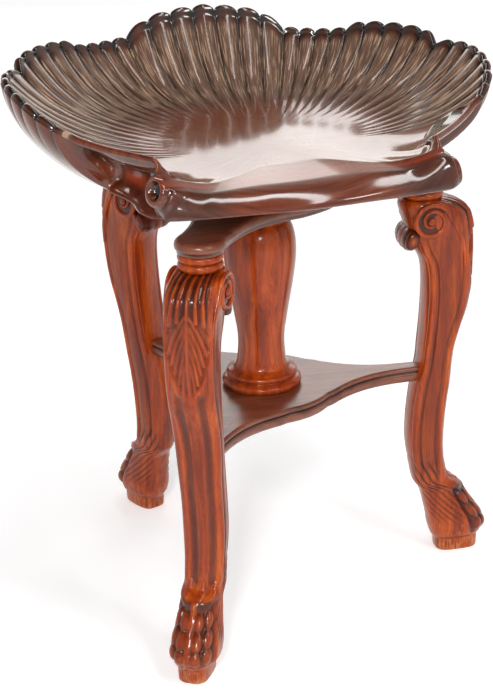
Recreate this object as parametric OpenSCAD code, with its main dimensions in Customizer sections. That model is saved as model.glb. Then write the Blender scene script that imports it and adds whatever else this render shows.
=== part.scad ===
// Revolving vanity stool: a carved shell seat on a lifting screw, over three cabriole legs.
// The origin lies on the floor under the screw's axis, +Z is up and the seat's front looks to -Y.

/* [Stand] */
// Height of the top frame's upper face above the floor
frame_top_z = 385; // [350:1:430]
// Thickness of the top frame
frame_t = 12; // [11:0.5:16]
// Distance from the axis to the middle of each leg's neck
neck_reach = 151; // [145:1:165]
// Radius of the round lobe over each leg
lobe_r = 21.5; // [20.5:0.5:26]
// Height of the shelf's upper face above the floor
shelf_top_z = 195; // [170:1:220]
// Thickness of the shelf
shelf_t = 14.5; // [13:0.5:20]
// Depth of the moulding run around the frame and the shelf
edge_mould = 2; // [1:0.5:3]

/* [Legs] */
// Size of a leg across its knee, from side to side
knee_w = 46; // [42:0.5:54]
// Depth of a leg through its knee, from the inner face to the front
knee_depth = 53; // [50:0.5:58]
// Distance from the axis to the tip of a paw
paw_reach = 220.5; // [212:0.5:226]
// Radius of the turned neck
neck_r = 19; // [17:0.5:20]
// Height of the turned neck above the knee
neck_h = 14; // [12:1:18]
// Radius of the scroll on each side of a knee
scroll_r = 17; // [12:0.5:19]
// How far a scroll stands out of the knee
scroll_out = 0.8; // [0.4:0.1:3]
// Height of the plain block under a paw
sole_h = 8; // [6:1:10]
// Depth by which the toes are carved
toe_cut = 3.2; // [0:0.2:4]

/* [Column] */
// Greatest radius of the turned column
column_r = 32.7; // [31:0.1:36]
// Radius of the bore that the screw drops into
column_bore_r = 14.5; // [13.5:0.5:16]
// How far that bore runs on below the foot of the screw
bore_room = 12; // [5:1:16]
// Radius of the column's foot peg, glued through the shelf
foot_peg_r = 12; // [10:0.5:14]
// Radius of the collar that seats the column in the frame
head_peg_r = 24; // [22.5:0.5:28]

/* [Seat] */
// Width of the seat across its wings
seat_w = 426; // [400:1:460]
// Height of the back rim above the seat's flat underside
seat_rise = 103; // [90:1:115]
// Thickness of the seat in the middle of the dish
dish_t = 29; // [26:1:34]
// Distance from the axis to the front of the rolled lip
lip_reach = 160; // [150:1:170]
// Radius of the rolled lip
lip_roll = 14; // [13:0.5:16]
// Thickness of the rim at the back
rim_t = 9; // [7:0.5:12]
// Depth of the grooves between the ribs of the shell
rib_cut = 3.2; // [1:0.2:5]
// Angle by which the seat stands turned from square
seat_turn = 4; // [0:1:30]
// Radius of the volutes at the two ends of the lip
volute_r = 20; // [16:0.5:22]
// Length of the volutes
volute_len = 38; // [30:1:44]
// How far a volute's eye stands out
volute_out = 2; // [1:0.2:3]
// How much higher the lip stands at its ends than in the middle
lip_sweep = 11; // [6:1:14]

/* [Screw] */
// Outer radius of the screw's thread
screw_r = 10.5; // [9.5:0.1:11]
// Depth of the thread
thread_depth = 2; // [1.5:0.1:2.4]
// Rise of the screw in one turn
pitch = 8; // [7:0.5:10]
// Whole turns between the lowest and the highest seat
lift_turns = 11; // [9:1:12]
// Room between the screw's thread and the nut's thread
thread_gap = 0.35; // [0.3:0.05:0.5]
// Across flats of the nut's eight-sided barrel
nut_af = 30; // [29:0.5:32]
// Length of thread in the nut
nut_len = 44; // [36:1:48]
// Across flats of the nut's square flange
nut_flange = 74; // [70:1:80]
// Thickness of the nut's flange
nut_flange_t = 5; // [4:0.5:6]
// Radius of the iron plate under the seat
plate_r = 58; // [52:1:64]
// Thickness of that plate
plate_t = 5; // [4:0.5:7]
// Radius of the boss under the plate
boss_r = 18; // [17:0.5:22]
// Height of the boss
boss_h = 10; // [8:0.5:14]
// Side of the squared end that holds the screw in the boss
square_w = 14; // [12:0.5:15]
// Gap left under the boss when the seat is wound right down
rest_gap = 0.3; // [0.2:0.1:0.6]
// Thickness of the loose washer at the foot of the screw
washer_t = 3; // [2:0.5:4]
// Radius of that washer
washer_r = 13.2; // [12.8:0.1:13.4]

/* [Fixings] */
// Radius of the glued dowels in the legs' necks
neck_dowel_r = 7; // [5:0.5:8]
// Length of those dowels
neck_dowel_len = 34; // [30:1:40]
// Radius of the dowels at the ends of the shelf
shelf_dowel_r = 4.5; // [3:0.5:5]
// Length of those dowels
shelf_dowel_len = 36; // [24:1:44]
// Depth by which the shelf is housed into a leg
housing = 4; // [2:0.5:6]
// Radius of a wood screw's shank
woodscrew_r = 2.4; // [2:0.1:2.6]
// Length of a wood screw
woodscrew_len = 16; // [12:1:16]
// Radius of a wood screw's countersunk head
woodscrew_head_r = 4.8; // [4:0.1:5]
// Radial room between glued wooden parts
glue_gap = 0.05; // [0.02:0.01:0.1]

/* [Hidden] */

overrun = 1;
mahogany = "#7a3218";
seat_mahogany = "#4a2417";
iron = "#3c3a38";
steel = "#8d8a86";
beech = "#c9a273";

frame_under_z = frame_top_z - frame_t;
shelf_under_z = shelf_top_z - shelf_t;
lift = lift_turns * pitch;
nut_top_z = frame_top_z + nut_flange_t;
boss_under_z = nut_top_z + rest_gap;
plate_under_z = boss_under_z + boss_h;
seat_under_z = plate_under_z + plate_t;
nut_under_z = nut_top_z - nut_len;
washer_top_z = nut_under_z - lift - rest_gap;
washer_under_z = washer_top_z - washer_t;
pin_r = square_w / 6;
pin_z = washer_under_z - rest_gap - pin_r;
tail_r = screw_r - thread_depth - thread_gap;
tail_z = pin_z - 2 * pin_r;

// The old stand has racked a little: turns of the frame's arms and of the paws around the axis,
// for the front, right and rear legs. The shelf's arms lie half way between.
neck_angles = [239.3, 1, 124];
paw_angles = [239.3, 1, 118];
shelf_angles = (neck_angles + paw_angles) / 2;
function mix(a, b, t) = a + (b - a) * t;
function ease(t) = let (k = min(max(t, 0), 1)) k * k * (3 - 2 * k);

// Leg: level slices from the paw to the knee. Each row of the table gives a slice's height as a
// share of the leg's, its inner and outer faces as shares of the paw's reach, and its width as a
// share of the knee's. The faces stand knee_share apart where the leg has the knee's depth. The
// slices lean from the paw's reach at the floor to the neck's reach at the top, reach_share of it.
leg_h = frame_under_z - neck_h - sole_h;
leg_shares = [[0, 0.757, 0.96, 0.653], [0.015, 0.745, 0.975, 0.83], [0.034, 0.734, 0.995, 1],
    [0.057, 0.726, 1, 1.02], [0.077, 0.719, 0.988, 1.015], [0.098, 0.712, 0.965, 0.966],
    [0.116, 0.705, 0.945, 0.93], [0.134, 0.698, 0.926, 0.9], [0.151, 0.69, 0.91, 0.867],
    [0.168, 0.681, 0.895, 0.843], [0.183, 0.67, 0.862, 0.8], [0.196, 0.662, 0.821, 0.772],
    [0.228, 0.651, 0.807, 0.772], [0.262, 0.643, 0.797, 0.784], [0.305, 0.635, 0.791, 0.819],
    [0.348, 0.634, 0.792, 0.831], [0.396, 0.638, 0.797, 0.831], [0.442, 0.646, 0.805, 0.837],
    [0.49, 0.658, 0.815, 0.855], [0.541, 0.676, 0.819, 0.89], [0.59, 0.683, 0.829, 0.914],
    [0.647, 0.69, 0.855, 0.926], [0.698, 0.693, 0.882, 0.938], [0.747, 0.694, 0.896, 0.95],
    [0.795, 0.69, 0.903, 0.955], [0.832, 0.678, 0.905, 0.965], [0.866, 0.649, 0.907, 0.98],
    [0.925, 0.612, 0.901, 1], [0.962, 0.594, 0.888, 1], [0.988, 0.58, 0.868, 0.97],
    [1, 0.58, 0.845, 0.92]];
knee_share = 0.24;
reach_share = 1.46;
leg_round = 28;
function leg_at(z, column, i = 1) = let (a = leg_shares[i - 1], b = leg_shares[i], s = (z - sole_h) / leg_h)
    s > b[0] && i < len(leg_shares) - 1 ? leg_at(z, column, i + 1)
    : a[column] + (b[column] - a[column]) * (s - a[0]) / (b[0] - a[0]);
function leg_mid(s, inner, outer) = mix(paw_reach, neck_reach * reach_share, s) * (inner + outer) / 2;
function leg_half(inner, outer) = knee_depth / knee_share * (outer - inner) / 2;
function leg_inner(z) = leg_mid((z - sole_h) / leg_h, leg_at(z, 1), leg_at(z, 2))
    - leg_half(leg_at(z, 1), leg_at(z, 2));
shelf_end_half = shelf_dowel_r + 2 * edge_mould;
shelf_reach = leg_inner(shelf_under_z + shelf_t / 2) + housing;

// Outline of three arms around a round middle. The arms narrow from root_half to end_half.
function arm_half(t, root_half, end_half, power) = end_half + (root_half - end_half) * pow(1 - t, power);
module triform(angles, middle_r, root_x, root_half, end_x, end_half, power, inset) {
    steps = 14;
    circle(middle_r - inset, $fn = 96);
    for (a = angles) rotate(a) polygon(concat(
        [for (i = [0:steps]) let (t = i / steps)
            [root_x + (end_x - root_x) * t, arm_half(t, root_half, end_half, power) - inset]],
        [for (i = [steps:-1:0]) let (t = i / steps)
            [root_x + (end_x - root_x) * t, inset - arm_half(t, root_half, end_half, power)]],
        [[0, 0]]));
}

// Top frame: three arms with a round lobe over each leg, and a hollow run under the edge.
frame_middle_r = neck_reach / 2;
module frame_outline(inset) {
    triform(neck_angles, frame_middle_r, neck_reach * 0.32, frame_middle_r * 0.79, neck_reach,
        lobe_r * 0.95, 2.8, inset);
    for (a = neck_angles) rotate(a) translate([neck_reach, 0]) circle(lobe_r - inset, $fn = 64);
}
module top_frame() color(mahogany) difference() {
    union() {
        translate([0, 0, frame_under_z]) linear_extrude(frame_t * 0.9) frame_outline(edge_mould);
        translate([0, 0, frame_under_z + frame_t / 3]) linear_extrude(frame_t / 2) frame_outline(0);
        translate([0, 0, frame_under_z + frame_t / 2]) linear_extrude(frame_t / 2)
            frame_outline(edge_mould / 2);
    }
    translate([0, 0, frame_under_z - overrun])
        cylinder(r = head_peg_r + glue_gap, h = frame_t + 2 * overrun);
    for (a = neck_angles) rotate(a) neck_dowel(glue_gap);
    for (p = nut_screw_places) translate(p) wood_screw_hole();
}

// Turned column: a vase over two round mouldings, bored from the top for the screw.
column_h = frame_under_z - shelf_top_z;
column_shares = [[1.04, 0], [1.09, 0.012], [1.105, 0.028], [1.08, 0.044], [1, 0.052], [0.96, 0.055],
    [0.97, 0.06], [0.985, 0.072], [0.95, 0.086], [0.87, 0.093], [0.8, 0.098], [0.74, 0.108], [0.7, 0.124],
    [0.675, 0.15], [0.655, 0.19], [0.645, 0.24], [0.66, 0.29], [0.71, 0.35], [0.78, 0.43], [0.86, 0.51],
    [0.93, 0.59], [0.98, 0.66], [1, 0.73], [0.98, 0.79], [0.92, 0.84], [0.8, 0.885], [0.8, 0.9],
    [0.86, 0.91], [0.9, 0.93], [0.9, 0.95], [0.86, 0.97], [0.86, 1]];
module column() color(mahogany) difference() {
    rotate_extrude($fn = 96) polygon(concat(
        [[0, shelf_under_z], [foot_peg_r, shelf_under_z], [foot_peg_r, shelf_top_z]],
        [for (s = column_shares) [column_r * s[0], shelf_top_z + column_h * s[1]]],
        [[head_peg_r, frame_under_z], [head_peg_r, frame_top_z], [0, frame_top_z]]));
    translate([0, 0, tail_z - bore_room])
        cylinder(r = column_bore_r, h = frame_top_z);
    translate([0, 0, nut_under_z - rest_gap])
        cylinder(r = nut_corner_r + glue_gap, h = frame_top_z);
    wedge(0);
}

// Wedge: driven into a saw cut in the foot peg from below, across the grain of the shelf.
wedge_t = foot_peg_r / 5;
module wedge(trim) translate([0, 0, shelf_under_z]) rotate([90, 0, 90])
    linear_extrude(2 * foot_peg_r * 0.8, center = true)
        polygon([[-wedge_t, trim], [wedge_t, trim], [wedge_t / 4, shelf_t], [-wedge_t / 4, shelf_t]]);
module column_wedge() color(beech) wedge(0);

// Shelf: three slender arms around the column's foot, each housed and dowelled into a leg.
module shelf_outline(inset) {
    middle = foot_peg_r * 5.6;
    triform(shelf_angles, middle, middle * 0.85, middle * 0.6, shelf_reach, shelf_end_half, 2.8, inset);
}
module shelf() color(mahogany) difference() {
    union() {
        translate([0, 0, shelf_under_z]) linear_extrude(shelf_t) shelf_outline(edge_mould);
        translate([0, 0, shelf_under_z + edge_mould]) linear_extrude(shelf_t - 2 * edge_mould)
            shelf_outline(0);
    }
    translate([0, 0, shelf_under_z - overrun])
        cylinder(r = foot_peg_r + glue_gap, h = shelf_t + 2 * overrun);
    for (a = shelf_angles) rotate(a) shelf_dowel(glue_gap);
}
module shelf_dowel(room)
    translate([shelf_reach - shelf_dowel_len / 2, 0, shelf_under_z + shelf_t / 2])
        rotate([0, 90, 0]) cylinder(r = shelf_dowel_r + room, h = shelf_dowel_len + room);
module shelf_dowels() color(beech) for (a = shelf_angles) rotate(a) shelf_dowel(0);

// Neck dowels: they hold each leg's neck up into its lobe of the frame.
module neck_dowel(room)
    translate([neck_reach, 0, frame_top_z - frame_t / 4 - neck_dowel_len])
        cylinder(r = neck_dowel_r + room, h = neck_dowel_len + room);
module neck_dowels() color(beech) for (a = neck_angles) rotate(a) neck_dowel(0);

function power_of(v, e) = sign(v) * pow(abs(v), e);
// Toes swell between four grooves, in three rows of knuckles up the paw.
knuckle_share = 0.055;
paw_share = 0.2;
function toe_swell(turn, s) = let (front = max(0, cos(turn)), row = abs(sin(180 * s / knuckle_share)))
    s > paw_share ? 0 : toe_cut * front * (0.35 * row + 0.65 * abs(cos(turn * 3)) - 1);
function turned(p, a) = [p[0] * cos(a) - p[1] * sin(a), p[0] * sin(a) + p[1] * cos(a), p[2]];
function leg_slice(row, angle) = let (
    s = row[0], mid = leg_mid(s, row[1], row[2]), half_x = leg_half(row[1], row[2]),
    half_y = knee_w / 2 * row[3])
    [for (k = [0:leg_round - 1]) let (turn = 360 * k / leg_round - 180, swell = toe_swell(turn, s))
        turned([mid + half_x * power_of(cos(turn), 0.8) + swell * cos(turn),
            half_y * power_of(sin(turn), 0.8) + swell * sin(turn), sole_h + leg_h * s], angle)];
module slices(rings) {
    n = len(rings[0]);
    last = len(rings) - 1;
    polyhedron([for (ring = rings) each ring], concat(
        [[for (k = [0:n - 1]) k]],
        [[for (k = [n - 1:-1:0]) last * n + k]],
        [for (i = [0:last - 1], k = [0:n - 1]) let (a = i * n + k, b = i * n + (k + 1) % n)
            each [[a, a + n, b], [b, a + n, b + n]]]));
}
scroll_z = frame_under_z - neck_h - scroll_r * 0.9;
sole_w = knee_w * 0.6;
module leg(k) color(mahogany) difference() {
    union() {
        slices([for (row = leg_shares) leg_slice(row, mix(paw_angles[k], neck_angles[k], row[0]))]);
        rotate(paw_angles[k]) sole();
        rotate(neck_angles[k]) {
            translate([neck_reach, 0, frame_under_z - neck_h - neck_r / 2]) neck();
            translate([neck_reach, 0, scroll_z]) rotate([90, 0, 0])
                cylinder(r = scroll_r, h = knee_w + 2 * scroll_out, center = true, $fn = 48);
        }
    }
    rotate(neck_angles[k]) neck_dowel(glue_gap);
    rotate(shelf_angles[k]) {
        shelf_dowel(glue_gap);
        translate([0, -shelf_end_half - edge_mould / 4, shelf_under_z])
            cube([shelf_reach, 2 * shelf_end_half + edge_mould / 2, shelf_t]);
    }
}
// Sole: the plain worn block that the carved paw stands on.
sole_x = paw_reach * 0.86;
sole_len = paw_reach * 0.19;
module sole() translate([sole_x, 0, 0]) linear_extrude(2 * sole_h) polygon([for (turn = [0:15:345])
    [sole_len / 2 * power_of(cos(turn), 0.6), sole_w / 2 * power_of(sin(turn), 0.6)]]);
// Neck: two turned rings under the frame.
module neck() {
    root = neck_r / 2;
    ring = neck_h / 4;
    rotate_extrude($fn = 64) polygon(concat([[0, 0], [neck_r * 0.8, 0]],
        [for (i = [0:1], turn = [-90:30:90]) [neck_r * 0.86 + neck_r * 0.14 * cos(turn),
            root + ring * (2 * i + 1) + ring * sin(turn)]],
        [[0, root + neck_h]]));
}
module leg_front() leg(0);
module leg_right() leg(1);
module leg_rear() leg(2);

// Screw thread: one helical band wound around the axis. It runs over both ends by one turn, and
// what uses it trims it to length. Its height is measured from z = 0.
thread_sides = 20;
function thread_radius(p, crest, depth) = p == 1 || p == 2 ? crest : crest - depth;
band_shares = [0.12, 0.28, 0.62, 0.78];
module thread(crest, depth, length, flank) {
    turns = ceil(length / pitch) + 2;
    n = thread_sides;
    count = turns * n;
    top = count * 4;
    points = concat([for (k = [0:count], p = [0:3]) let (a = 360 * k / n,
            r = thread_radius(p, crest, depth), widen = (p < 2 ? -flank : flank))
            [r * cos(a), r * sin(a), pitch * (k / n + band_shares[p] - 1) + widen]],
        [[0, 0, -pitch], [0, 0, pitch * turns]]);
    low = len(points) - 2;
    high = len(points) - 1;
    polyhedron(points, concat(
        [for (k = [0:count - 1], p = [0:2]) [4 * k + 4 + p, 4 * k + p, 4 * k + 1 + p, 4 * k + 5 + p]],
        [for (k = [0:count - 1 - n]) [4 * k + 7, 4 * k + 3, 4 * (k + n), 4 * (k + n) + 4]],
        [for (k = [0:n - 1]) [low, 4 * k, 4 * k + 4]],
        [for (p = [0:2]) [low, p + 1, p]],
        [[low, 4 * n, 3]],
        [for (k = [count - n:count - 1]) [high, 4 * k + 7, 4 * k + 3]],
        [for (p = [0:2]) [high, 4 * count + p, 4 * count + p + 1]],
        [[high, 4 * (count - n) + 3, 4 * count]]));
}

// Nut: an iron nut with a square flange, let into the column's head and screwed to the frame.
nut_corner_r = nut_af / 2 / cos(22.5);
nut_screw_places = [for (sx = [-1, 1], sy = [-1, 1])
    [sx * nut_flange * 0.37, sy * nut_flange * 0.37, nut_top_z]];
module screw_nut() color(iron) difference() {
    union() {
        translate([-nut_flange / 2, -nut_flange / 2, frame_top_z])
            cube([nut_flange, nut_flange, nut_flange_t]);
        translate([0, 0, nut_under_z]) rotate(22.5)
            cylinder(r = nut_corner_r, h = nut_len - nut_flange_t, $fn = 8);
    }
    translate([0, 0, nut_under_z - pitch]) thread(screw_r + thread_gap, thread_depth, nut_len + 2 * pitch,
        thread_gap / 2);
    for (p = nut_screw_places) translate(p) wood_screw_hole(8);
}

// Wood screws: countersunk, standing head up at their own origin, with a slot across the head.
head_h = woodscrew_head_r - woodscrew_r;
module wood_screw_hole(sides = 32) {
    wider = 1 / cos(180 / sides);
    shank_r = (woodscrew_r + glue_gap) * wider;
    head_r = (woodscrew_head_r + glue_gap) * wider;
    translate([0, 0, -woodscrew_len - glue_gap])
        cylinder(r = shank_r, h = woodscrew_len + 2 * glue_gap, $fn = sides);
    translate([0, 0, -head_h]) cylinder(r1 = shank_r, r2 = head_r, h = head_h, $fn = sides);
    cylinder(r = head_r, h = overrun, $fn = sides);
}
module wood_screw() difference() {
    union() {
        translate([0, 0, -woodscrew_len]) cylinder(r = woodscrew_r, h = woodscrew_len - head_h, $fn = 24);
        translate([0, 0, -head_h]) cylinder(r1 = woodscrew_r, r2 = woodscrew_head_r, h = head_h, $fn = 24);
    }
    cube([2 * woodscrew_head_r, woodscrew_r / 3, woodscrew_r], center = true);
}
module nut_screws() color(steel) for (p = nut_screw_places) translate(p) wood_screw();

// Lift screw: squared at the top for the boss, threaded below it, plain at the foot.
thread_z = washer_top_z + washer_t;
module lift_screw() color(steel) difference() {
    union() {
        translate([-square_w / 2, -square_w / 2, boss_under_z]) cube([square_w, square_w, boss_h + plate_t]);
        intersection() {
            translate([0, 0, nut_under_z - pitch - pitch * lift_turns])
                thread(screw_r, thread_depth, lift + nut_len, 0);
            translate([0, 0, washer_top_z + rest_gap])
                cube_about(4 * screw_r, boss_under_z - washer_top_z - rest_gap);
        }
        translate([0, 0, tail_z]) cylinder(r = tail_r, h = washer_top_z + 2 * rest_gap - tail_z, $fn = 12);
    }
    cross_hole(pin_z, tail_r * 2);
    cross_hole(boss_under_z + boss_h / 2, square_w);
}
module cube_about(w, h) translate([-w / 2, -w / 2, 0]) cube([w, w, h]);
module cross_hole(z, w) translate([0, 0, z]) rotate([90, 0, 0])
    cylinder(r = pin_r + glue_gap, h = w + 2 * overrun, center = true, $fn = 12);

// Stop washer: it hangs loose on the screw's foot and meets the nut when the seat is right up.
module stop_washer() color(steel) translate([0, 0, washer_under_z]) difference() {
    cylinder(r = washer_r, h = washer_t);
    translate([0, 0, -overrun]) cylinder(r = tail_r + thread_gap, h = washer_t + 2 * overrun);
}
module stop_pin() color(steel) translate([0, 0, pin_z]) rotate([90, 0, 0])
    cylinder(r = pin_r, h = 2 * washer_r * 0.9, center = true, $fn = 12);

// Seat plate: an iron disc with a boss, screwed flat to the underside of the seat.
plate_screw_places = [for (a = [45:90:315]) [plate_r * 0.78 * cos(a), plate_r * 0.78 * sin(a)]];
module seat_plate() color(iron) rotate(seat_turn) difference() {
    union() {
        translate([0, 0, plate_under_z]) cylinder(r = plate_r, h = plate_t, $fn = 96);
        translate([0, 0, boss_under_z]) cylinder(r = boss_r, h = boss_h, $fn = 64);
    }
    translate([0, 0, boss_under_z - overrun]) rotate(-seat_turn)
        cube_about(square_w + 2 * glue_gap, boss_h + plate_t + 2 * overrun);
    rotate(-seat_turn) cross_hole(boss_under_z + boss_h / 2, 2 * boss_r);
    for (p = plate_screw_places) plate_screw_at(p) wood_screw_hole();
}
module plate_screw_at(p) translate([p[0], p[1], plate_under_z]) rotate([180, 0, 0]) children();
module boss_pin() color(steel) translate([0, 0, boss_under_z + boss_h / 2]) rotate([90, 0, 0])
    cylinder(r = pin_r, h = 2 * boss_r * 0.98, center = true, $fn = 12);
module plate_screws() color(steel) rotate(seat_turn)
    for (p = plate_screw_places) plate_screw_at(p) wood_screw();

// Seat: a shell carved from the solid. It is built from upright cuts at turns around the axis,
// 0 at the back and 180 at the front. Rows of rim_shares hold a turn, the rim's reach as a share
// of half the width and its height as a share of the rise.
rim_shares = [[0, 0.835, 1], [10, 0.84, 0.97], [17, 0.854, 0.922], [21, 0.866, 0.854], [24.5, 0.873, 0.777],
    [30, 0.887, 0.757], [37, 0.899, 0.762], [42, 0.908, 0.786], [46, 0.922, 0.84], [53, 0.943, 0.859],
    [60, 0.965, 0.859], [66, 0.979, 0.835], [69.5, 0.972, 0.767], [73, 0.995, 0.791], [80, 1.005, 0.806],
    [88, 0.995, 0.786], [94, 0.976, 0.748], [101, 0.943, 0.67], [106, 0.901, 0.583], [110, 0.868, 0.515],
    [117, 0.83, 0.476], [126, 0.802, 0.456], [136, 0.788, 0.437], [141, 0.79, 0.4]];
// Reach of the bottom edge, by turn, as a share of half the width.
foot_shares = [[0, 0.6], [40, 0.64], [65, 0.72], [82, 0.755], [95, 0.715], [105, 0.69], [115, 0.685],
    [123, 0.71], [130, 0.78], [141, 0.85]];
// Lobes of the rim: first turn, last turn, ribs between them. The first lobe is half of one.
rim_lobes = [[0, 24.5, 3.5], [24.5, 42.5, 4], [42.5, 69.5, 5], [69.5, 106, 7]];
rib_cuts = 4;
side_turn = 106;
corner_turn = 138;
// Where the ribs meet, in front of the axis, as a share of half the width.
meet_share = 0.19;
// Reach of the two front corners, as a share of half the width.
corner_share = 0.965;
// How much lower than the middle the rim's right wing was carved, and how much higher its left
// one, as a share of the rise.
lean_share = 0.038;

half_w = seat_w / 2;
function slope_at(rows, i, c) = i == 0 ? 0 : i == len(rows) - 1
    ? (rows[i][c] - rows[i - 1][c]) / (rows[i][0] - rows[i - 1][0])
    : (rows[i + 1][c] - rows[i - 1][c]) / (rows[i + 1][0] - rows[i - 1][0]);
function row_before(rows, b, i = 0) = i >= len(rows) - 2 || rows[i + 1][0] > b ? i
    : row_before(rows, b, i + 1);
function curve(rows, turn, c) = let (b = min(max(abs(turn), rows[0][0]), rows[len(rows) - 1][0]),
        i = row_before(rows, b), h = rows[i + 1][0] - rows[i][0], t = (b - rows[i][0]) / h)
    (2 * pow(t, 3) - 3 * t * t + 1) * rows[i][c] + (pow(t, 3) - 2 * t * t + t) * h * slope_at(rows, i, c)
    + (3 * t * t - 2 * pow(t, 3)) * rows[i + 1][c] + (pow(t, 3) - t * t) * h * slope_at(rows, i + 1, c);

// Height of a rib over its groove at a turn, from 0 in the groove to 1 on the rib.
function lobe_at(b, i = 0) = i == len(rim_lobes) - 1 || b <= rim_lobes[i][1] ? i : lobe_at(b, i + 1);
function rib_at(turn) = let (b = abs(turn), lobe = rim_lobes[lobe_at(b)],
        ribs = (b - lobe[0]) / (lobe[1] - lobe[0]) * lobe[2] + (lobe[0] == 0 ? 0.5 : 0))
    b >= side_turn ? 1 : pow(abs(sin(180 * ribs)), 0.6);

half_turns = concat(
    [for (lobe = rim_lobes) each [for (k = [0:lobe[2] * rib_cuts - 1])
        mix(lobe[0], lobe[1], k / (lobe[2] * rib_cuts))]],
    [for (k = [0:8]) mix(side_turn, corner_turn, k / 8)],
    [for (k = [1:11]) mix(corner_turn, 180, k / 11)]);
seat_turns = concat(half_turns, [for (k = [len(half_turns) - 2:-1:1]) -half_turns[k]]);

// Share of the way out at which each cut of the dish is measured, and the heights of the wall's.
dish_steps = [0.2, 0.4, 0.54, 0.64, 0.72, 0.79, 0.85, 0.9, 0.945, 0.98];
wall_steps = [0.92, 0.78, 0.6, 0.42, 0.26, 0.12, 0.03];
function dish_rise(u, b) = pow(max(0, (u - 0.3) / 0.7), mix(4.5, 3, ease((b - 30) / 60)));
function meet_point() = [0, -meet_share * half_w];
function heading(turn) = [sin(turn), cos(turn)];
function lip_out(turn) = let (straight = lip_reach / max(0.01, -cos(turn)), corner = half_w * corner_share)
    pow(pow(straight / half_w, -20) + pow(corner / half_w, -20), -1 / 20) * half_w;
// One cut of the seat at a turn: points from the middle of the dish over the rim to the underside.
function seat_cut(turn) = let (
    b = abs(turn), rib = rib_at(turn) - 1, front = ease((b - corner_turn + 4) / 8),
    side = ease((b - side_turn) / 6) * (1 - front), back = 1 - side - front,
    rim_r = mix(half_w * curve(rim_shares, turn, 1), lip_out(turn) - lip_roll, front),
    rim_z = mix(seat_rise * (curve(rim_shares, turn, 2) - lean_share * sin(turn)),
        2 * lip_roll + lip_sweep * ease((156 - b) / 16), front),
    foot_r = half_w * curve(foot_shares, turn, 1), rim = heading(turn) * (rim_r + 0.6 * rib * rib_cut))
    concat(
        [for (u = dish_steps) let (p = mix(meet_point(), rim, u),
            depth = rib_cut * rib * ease((u - 0.4) / 0.4))
            [p[0] - 0.6 * depth * sin(turn), p[1] - 0.6 * depth * cos(turn),
             dish_t + (rim_z - dish_t) * dish_rise(u, b) + 0.8 * depth]],
        [[rim[0], rim[1], rim_z + rib * rib_cut]],
        [for (h = wall_steps) let (
            bowl = foot_r + (rim_r + rim_t / 2 - foot_r) * (1 - pow(1 - h, 2)) + 0.7 * rib * rib_cut * h,
            hollow = foot_r + (rim_r - foot_r) * h - lip_roll * 0.6 * sin(180 * h),
            roll = lip_out(turn) - lip_roll + lip_roll * cos(asin(2 * h - 1)),
            r = back * bowl + side * hollow + front * roll)
            [r * sin(turn), r * cos(turn), rim_z * h + back * rib * rib_cut * h]],
        [heading_at(turn, mix(foot_r - rim_t / 2, lip_out(turn) - 1.3 * lip_roll, front))]);
function heading_at(turn, r) = [r * sin(turn), r * cos(turn), 0];
module shell_solid() {
    rings = [for (turn = seat_turns) seat_cut(turn)];
    n = len(rings);
    m = len(rings[0]);
    points = concat([for (ring = rings) each ring], [concat(meet_point(), [dish_t]), [0, 0, 0]]);
    polyhedron(points, concat(
        [for (j = [0:n - 1], i = [0:m - 2]) let (a = j * m + i, b = ((j + 1) % n) * m + i)
            each [[b, a, a + 1], [b + 1, b, a + 1]]],
        [for (j = [0:n - 1]) [n * m, j * m, ((j + 1) % n) * m]],
        [for (j = [0:n - 1]) [n * m + 1, ((j + 1) % n) * m + m - 1, j * m + m - 1]]));
}
module seat_shell() color(seat_mahogany) rotate(seat_turn) difference() {
    union() {
        translate([0, 0, seat_under_z]) shell_solid();
        for (side = [-1, 1]) volute(side);
    }
    for (p = plate_screw_places) plate_screw_at(p) wood_screw_hole();
}
// Volute: the lip's end rolled up into a scroll, with a raised eye on its outer face.
volute_x = corner_share * half_w * sin(180 - corner_turn) - volute_r * 0.93;
module volute(side) translate([side * volute_x, volute_r * 0.9 - lip_reach, seat_under_z + volute_r * 1.05])
    rotate([0, 0, side * -24]) rotate([0, side * 90, 0]) {
        cylinder(r = volute_r, h = volute_len, center = true, $fn = 48);
        translate([-volute_r * 0.35, 0, 0])
            cylinder(r = volute_r * 0.62, h = volute_len / 2 + volute_out, $fn = 40);
    }

top_frame();
column();
column_wedge();
shelf();
shelf_dowels();
neck_dowels();
leg_front();
leg_right();
leg_rear();
screw_nut();
nut_screws();
stop_washer();
lift_screw();
stop_pin();
seat_plate();
boss_pin();
plate_screws();
seat_shell();
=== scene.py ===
import math

import bpy
import numpy as np
from mathutils import Matrix, Vector


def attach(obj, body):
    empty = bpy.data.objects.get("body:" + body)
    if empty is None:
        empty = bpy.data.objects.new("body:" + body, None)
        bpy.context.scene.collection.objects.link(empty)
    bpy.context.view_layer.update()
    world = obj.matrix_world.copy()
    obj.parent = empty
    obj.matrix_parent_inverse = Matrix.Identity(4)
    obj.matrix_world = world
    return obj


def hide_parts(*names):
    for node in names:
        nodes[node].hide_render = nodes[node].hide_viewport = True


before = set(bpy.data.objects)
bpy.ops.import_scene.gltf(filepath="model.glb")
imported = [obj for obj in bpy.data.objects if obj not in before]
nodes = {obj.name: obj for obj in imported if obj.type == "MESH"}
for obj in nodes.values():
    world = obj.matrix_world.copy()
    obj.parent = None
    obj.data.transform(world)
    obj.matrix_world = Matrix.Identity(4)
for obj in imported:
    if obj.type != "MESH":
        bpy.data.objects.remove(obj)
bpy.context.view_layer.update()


# Column
# The column is one turned piece of mahogany, a vase over two round mouldings. Its foot peg goes
# through the shelf and is wedged, and its head is let into the top frame and glued.

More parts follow.
